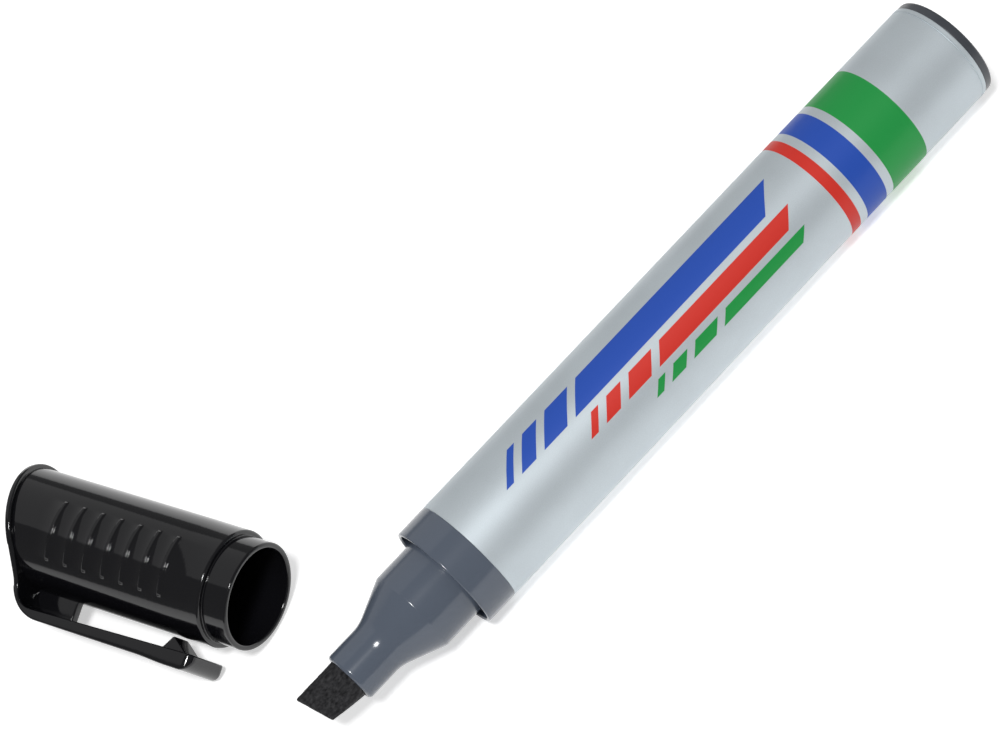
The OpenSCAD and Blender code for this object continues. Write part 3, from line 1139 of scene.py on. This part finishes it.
            radius = np.hstack([radius, np.full_like(rows, wall_radius)])
            station = np.hstack([station, rows])
        points = np.stack([radius * np.cos(angle), radius * np.sin(angle), station], axis=-1)
        return surface("cap_body", self.placed(points), Wrap.BOTH)

    def plate_rows(self) -> tuple[np.ndarray, np.ndarray]:
        """Rows across the end plate: places along the slanted end and half widths.

        The rows step round the rim of the disc at equal turns, then follow the tongue, whose sides leave the
        disc at a tangent. A soft maximum of the tongue and the clip's width rounds the neck between them.

        Returns:
            Distances from the cap's axis along the slanted end, and half widths there.
        """
        half_angle = 0.5 * math.acos(float(-self.plate_way @ self.clip_way))
        bend_start = self.root[0] / math.cos(self.slant) - self.bend / math.tan(half_angle)
        neck = bend_start - 0.5 * self.clip
        neck_half = float(self.half_width(self.length - neck * math.sin(self.slant)))
        touch = math.atan2(neck_half, neck) + math.acos(self.plate_radius / math.hypot(neck, neck_half))
        turn = np.linspace(0.0, math.pi - touch, self.disc_rows)
        disc, disc_half = -self.plate_radius * np.cos(turn), self.plate_radius * np.sin(turn)
        tongue = np.linspace(disc[-1], bend_start, 24)[1:]
        side = disc_half[-1] - (tongue - disc[-1]) / math.tan(touch)
        strip = self.half_width(self.length - tongue * math.sin(self.slant))
        soft = 0.5 * (side + strip + np.hypot(side - strip, self.neck_blend) - self.neck_blend)
        return np.concatenate([disc, tongue]), np.concatenate([disc_half, soft])

    def strip_rows(self) -> tuple[np.ndarray, np.ndarray, np.ndarray]:
        """Path of the end plate and clip: outer face, inner face and half width, row by row.

        The rows run across the slanted plate, round the bend on two arcs and down the clip to its nose. There
        both faces and both sides follow quarter rounds, r - sqrt(r^2 - (r - d)^2) at a distance d from it.

        Returns:
            Outer and inner points as [distance from the axis, station], and half widths.
        """
        plane, plate_half = self.plate_rows()
        apex = np.array([0.0, self.length])
        inward = np.array([-math.sin(self.slant), -math.cos(self.slant)])
        share = np.linspace(0.0, 1.0, 33)[1:, None]
        outer_bend = arc(self.root, -self.plate_way, self.clip_way, self.bend, share)
        inner_way = unit(self.inner_tip - self.inner_root)
        whole_share = np.vstack([[[0.0]], share])
        inner_bend = arc(self.inner_root, -self.plate_way, inner_way, self.fillet, whole_share)
        fillet_start = float((inner_bend[0] - apex) @ self.plate_way)
        turn_in = 0.5 * plane[-1]
        inner_plane = np.interp(plane, [plane[0], turn_in, plane[-1]], [plane[0], turn_in, fillet_start])

        low, start = self.clip_setback, outer_bend[-1, 1]
        tip_turn = np.linspace(0.0, 0.5 * math.pi, 25)
        tip_rows = low + self.nose_round * (1.0 - np.sin(tip_turn))
        rows = np.concatenate([np.linspace(start, tip_rows[0], 60)[1:-1], tip_rows])
        inner_rows = rows + (inner_bend[-1, 1] - start) * ease((rows - 0.5 * start) / (0.5 * start))
        outer_clip = self.outer_face(rows) - quarter(rows - low, self.nose_round)
        inner_clip = self.inner_face(inner_rows) + quarter(inner_rows - low, self.tip_round)
        clip_half = self.half_width(rows) - quarter(rows - low, self.tip_corner)

        outer_plate = apex + plane[:, None] * self.plate_way
        inner_plate = apex + inner_plane[:, None] * self.plate_way + inward * self.plate
        outer = np.vstack([outer_plate, outer_bend, np.stack([outer_clip, rows], axis=-1)])
        inner = np.vstack([inner_plate, inner_bend[1:], np.stack([inner_clip, inner_rows], axis=-1)])
        half = np.concatenate([plate_half, self.half_width(outer_bend[:, 1]), clip_half])
        return outer, inner, half

    def end_and_clip(self) -> bpy.types.Object:
        """End plate and clip as one strip with rounded edges.

        Across each row the strip spans its half width on both faces. Within the edge radius of the rim both
        faces fall along a quarter round; on the disc the distance to the rim is taken along its radius.

        Returns:
            The end plate and clip.
        """
        outer, inner, half = self.strip_rows()
        across = np.sin(np.linspace(-0.5, 0.5, 49) * math.pi)[None, :]
        y = half[:, None] * across
        plane = self.plate_rows()[0]
        disc_rim = np.full(y.shape, np.inf)
        on_disc = slice(0, self.disc_rows)
        disc_rim[on_disc] = self.plate_radius - np.hypot(plane[on_disc, None], y[on_disc])
        rim = np.minimum(half[:, None] - np.abs(y), np.maximum(disc_rim, 0.0))
        thickness = np.linalg.norm(inner - outer, axis=1)[:, None]
        share = np.minimum(quarter(rim, self.edge) / thickness, 0.5)[..., None]
        top = outer[:, None, :] * (1.0 - share) + inner[:, None, :] * share
        under = outer[:, None, :] * share + inner[:, None, :] * (1.0 - share)
        loop = np.hstack([top, under[:, ::-1]])
        side = np.hstack([y, y[:, ::-1]])
        points = np.stack([loop[..., 0], side, loop[..., 1]], axis=-1)
        close = 0.5 * (points[-1:] + points[-1:, ::-1])
        return surface("cap_end_and_clip", self.placed(np.vstack([points, close])), Wrap.COLUMNS)

    def slab(self, name: str, corners: Sequence[Corner], width: float) -> bpy.types.Object:
        """Flat moulding across the cap's middle: an outline carried from side to side, with rounded edges.

        Args:
            name: the object's name.
            corners: the outline's corners, as distances from the axis and stations.
            width: the slab's width.

        Returns:
            The object.
        """
        outline = rounded_profile(corners)
        middle = outline.mean(axis=0)
        depth = self.edge * (1.0 - np.cos(np.linspace(0.0, 0.5 * math.pi, 7)))
        y = 0.5 * width - depth
        shrink = quarter(depth, self.edge) / np.linalg.norm(outline - middle, axis=1).mean()
        y = np.concatenate([y[:1], y, -y[::-1], -y[:1]])
        shrink = np.concatenate([[1.0], shrink, shrink[::-1], [1.0]])
        flat = outline[None] + (middle - outline)[None] * shrink[:, None, None]
        sides = np.broadcast_to(y[:, None], flat.shape[:2])
        points = np.stack([flat[..., 0], sides, flat[..., 1]], axis=-1)
        return surface(name, self.placed(points), Wrap.COLUMNS)

    def ridge_slab(self) -> bpy.types.Object:
        """Gripping ridge: two slopes from the clip's inner face that meet close to the body.

        Returns:
            The ridge.
        """
        low, high = self.ridge - self.ridge_lead, self.ridge + self.ridge_trail
        low_face, high_face = float(self.inner_face(low)), float(self.inner_face(high))
        root = 0.5 * self.clip
        corners = [
            Corner(low_face, low),
            Corner(self.radius + self.ridge_gap, self.ridge, self.ridge_round),
            Corner(high_face, high),
            Corner(high_face + root, high),
            Corner(low_face + root, low),
        ]
        return self.slab("cap_clip_ridge", corners, self.ridge_width)

    def web_slab(self) -> bpy.types.Object:
        """Thin web between the body and the clip's root.

        Returns:
            The web.
        """
        wall = 0.5 * (self.bore + self.skirt)
        low = self.root[1] - self.web_length
        corners = [
            Corner(wall, low),
            Corner(float(self.inner_face(low)) + 0.5 * self.clip, low),
            Corner(float(self.inner_root[0]), float(self.inner_root[1])),
            Corner(wall, self.end_station(wall) - 0.5 * self.plate),
        ]
        return self.slab("cap_clip_web", corners, self.web_width)

    def liner(self) -> bpy.types.Object:
        """Turned inner cap that closes on the nib's tube.

        Returns:
            The inner cap.
        """
        outside = self.liner_bore + self.liner_wall
        rim = self.seat - self.liner_clearance
        top = self.liner_floor + self.liner_wall
        corners = [
            Corner(0.0, self.liner_floor),
            Corner(self.liner_bore, self.liner_floor, self.liner_round),
            Corner(self.liner_bore, self.seat_start, self.liner_mouth),
            Corner(rim, self.seat_start, self.liner_edge),
            Corner(rim, self.seat_end, self.liner_edge),
            Corner(outside, self.seat_end, self.liner_heel),
            Corner(outside, top, self.liner_round),
            Corner(0.0, top),
        ]
        x, y, z = np.moveaxis(turned(rounded_profile(corners), 128), -1, 0)
        return surface("inner_cap_liner", self.placed(np.stack([z, y, x], axis=-1)), Wrap.BOTH)

    def build(self, finishes: Finishes) -> None:
        """Makes and dresses the cap's pieces.

        Args:
            finishes: the materials of all pieces.
        """
        settle(self.body(), "cap", "black_plastic", finishes.black, "cap_shell")
        for moulding in (self.end_and_clip(), self.ridge_slab(), self.web_slab()):
            settle(moulding, "cap", "black_plastic", finishes.black)
        settle(self.liner(), "cap", "liner_plastic", finishes.liner, "inner_cap")


# Studio


@dataclass(frozen=True)
class Softbox:
    """Square area lamp: its place, what it points at, its side in millimetres and how bright its face is."""

    name: str
    place: Point
    target: Point
    side: float
    radiance: float

    def build(self) -> None:
        """Makes the lamp; a face of radiance L and area A sends out pi A L watts."""
        lamp = bpy.data.lights.new(self.name, "AREA")
        lamp.shape = "SQUARE"
        lamp.size = self.side * MM
        lamp.energy = self.radiance * math.pi * (self.side * MM) ** 2
        holder = linked(self.name, lamp)
        place, target = Vector(self.place) * MM, Vector(self.target) * MM
        holder.location = place
        holder.rotation_euler = (target - place).to_track_quat("-Z", "Y").to_euler()


@dataclass(frozen=True)
class Studio:
    """White table, pale surroundings, lamps and the camera that was fitted to the photograph's outlines."""

    floor: float
    table_size: float = 6000.0
    table_colour: Colour = (0.90, 0.90, 0.90)
    table_roughness: float = 0.9
    table_glow: float = 0.54
    sky: Colour = (1.0, 1.0, 1.0)
    sky_level: float = 0.20
    middle: Point = (75.0, -10.0, 0.0)
    camera_place: Point = (147.95, 239.45, 337.66)
    camera_target: Point = (74.98, -17.73, 0.0)
    camera_roll: float = math.radians(-33.81)
    lens: float = 111.23
    sensor: float = 36.0
    nearest: float = 10.0

    def table(self) -> None:
        """Flat table; to the eye and in reflections it glows a little, so that only its shadows are grey."""
        half, height = 0.5 * self.table_size * MM, self.floor * MM
        corners = [(-half, -half, height), (half, -half, height), (half, half, height), (-half, half, height)]
        mesh = bpy.data.meshes.new("white_table")
        mesh.from_pydata(corners, [], [(0, 1, 2, 3)])
        table = linked("white_table", mesh)
        material, graph, shader = new_finish("white_table")
        shader.inputs["Base Color"].default_value = (*self.table_colour, 1.0)
        shader.inputs["Roughness"].default_value = self.table_roughness
        shader.inputs["Specular IOR Level"].default_value = 0.0
        shader.inputs["Emission Color"].default_value = (1.0, 1.0, 1.0, 1.0)
        rays = graph.add("ShaderNodeLightPath")
        seen = graph.math("MAXIMUM", rays.outputs["Is Camera Ray"], rays.outputs["Is Glossy Ray"])
        seen = graph.math("MAXIMUM", seen, rays.outputs["Is Transmission Ray"])
        graph.feed(shader.inputs["Emission Strength"], graph.math("MULTIPLY", seen, self.table_glow))
        table.data.materials.append(material)

    def surroundings(self) -> None:
        """Even pale light from all round."""
        world = bpy.data.worlds.new("pale_room")
        world.use_nodes = True
        background = next(n for n in world.node_tree.nodes if n.type == "BACKGROUND")
        background.inputs["Color"].default_value = (*self.sky, 1.0)
        background.inputs["Strength"].default_value = self.sky_level
        bpy.context.scene.world = world

    def lamps(self) -> None:
        """A small bright lamp overhead and a large soft one behind the marker."""
        Softbox("overhead_lamp", (210.0, 258.0, 644.0), self.middle, side=110.0, radiance=75.0).build()
        Softbox("back_softbox", (40.0, -1100.0, 1000.0), self.middle, side=1800.0, radiance=0.35).build()

    def camera(self) -> None:
        """Camera at the photograph's viewpoint, rolled as the photograph is."""
        data = bpy.data.cameras.new("photo_camera")
        data.sensor_width = self.sensor
        data.lens = self.lens
        data.clip_start = self.nearest * MM
        holder = linked("photo_camera", data)
        place, target = Vector(self.camera_place) * MM, Vector(self.camera_target) * MM
        look = (target - place).to_track_quat("-Z", "Y")
        holder.location = place
        holder.rotation_mode = "QUATERNION"
        holder.rotation_quaternion = look @ Quaternion((0.0, 0.0, 1.0), self.camera_roll)
        bpy.context.scene.camera = holder

    def build(self) -> None:
        """Sets up the table, the light and the camera."""
        bpy.context.scene.view_settings.view_transform = "Standard"
        self.table()
        self.surroundings()
        self.lamps()
        self.camera()


def node_span(node: str) -> tuple[np.ndarray, np.ndarray]:
    """Lowest and highest corner of a CAD node, in millimetres."""
    low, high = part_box(node)
    return np.array(low) / MM, np.array(high) / MM


def main() -> None:
    """Loads the frame, builds the pieces and the studio and notes the sizes."""
    logging.basicConfig(level=logging.INFO, format="%(name)s: %(message)s")
    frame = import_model()
    for helper in [o for o in bpy.data.objects if o.type in ("LIGHT", "CAMERA")]:
        bpy.data.objects.remove(helper)

    barrel_low, barrel_high = node_span("barrel")
    holder_low, holder_high = node_span("front_holder")
    nib_high = node_span("nib")[1]
    radius = float(barrel_high[2])
    mouth_mount = next(m for m in frame["record"]["mounts"] if m["name"] == "cap_bore")
    axis = -unit(np.array(mouth_mount["axis"]))
    # The mount stands in the middle of the bore, half its length from the mouth
    mouth_depth = 0.5 * mouth_mount["dims"]["length_mm"]
    mouth = np.array(mouth_mount["pos_m"]) / MM - axis * mouth_depth

    studio = Studio(floor=float(barrel_low[2]))
    camera = studio.camera_place
    finishes = make_finishes(math.atan2(camera[1], camera[2]), radius)
    Barrel(start=float(barrel_low[0]), end=float(barrel_high[0]), radius=radius).build(finishes)
    nose = Nose(
        start=float(holder_low[0]),
        barrel_end=float(barrel_high[0]),
        tube_end=float(holder_high[0]),
        point=float(nib_high[0]),
        radius=radius,
    )
    nose.build(finishes)
    Cap(mouth, axis, radius).build(finishes)
    for node, finish in (("ink_reservoir", finishes.fibre), ("reservoir_wrap", finishes.film)):
        materials = frame["nodes"][node].data.materials
        materials.clear()
        materials.append(finish)
        LOG.info("%s: kept from the frame", node)
    studio.build()


if __name__ == "__main__":
    main()
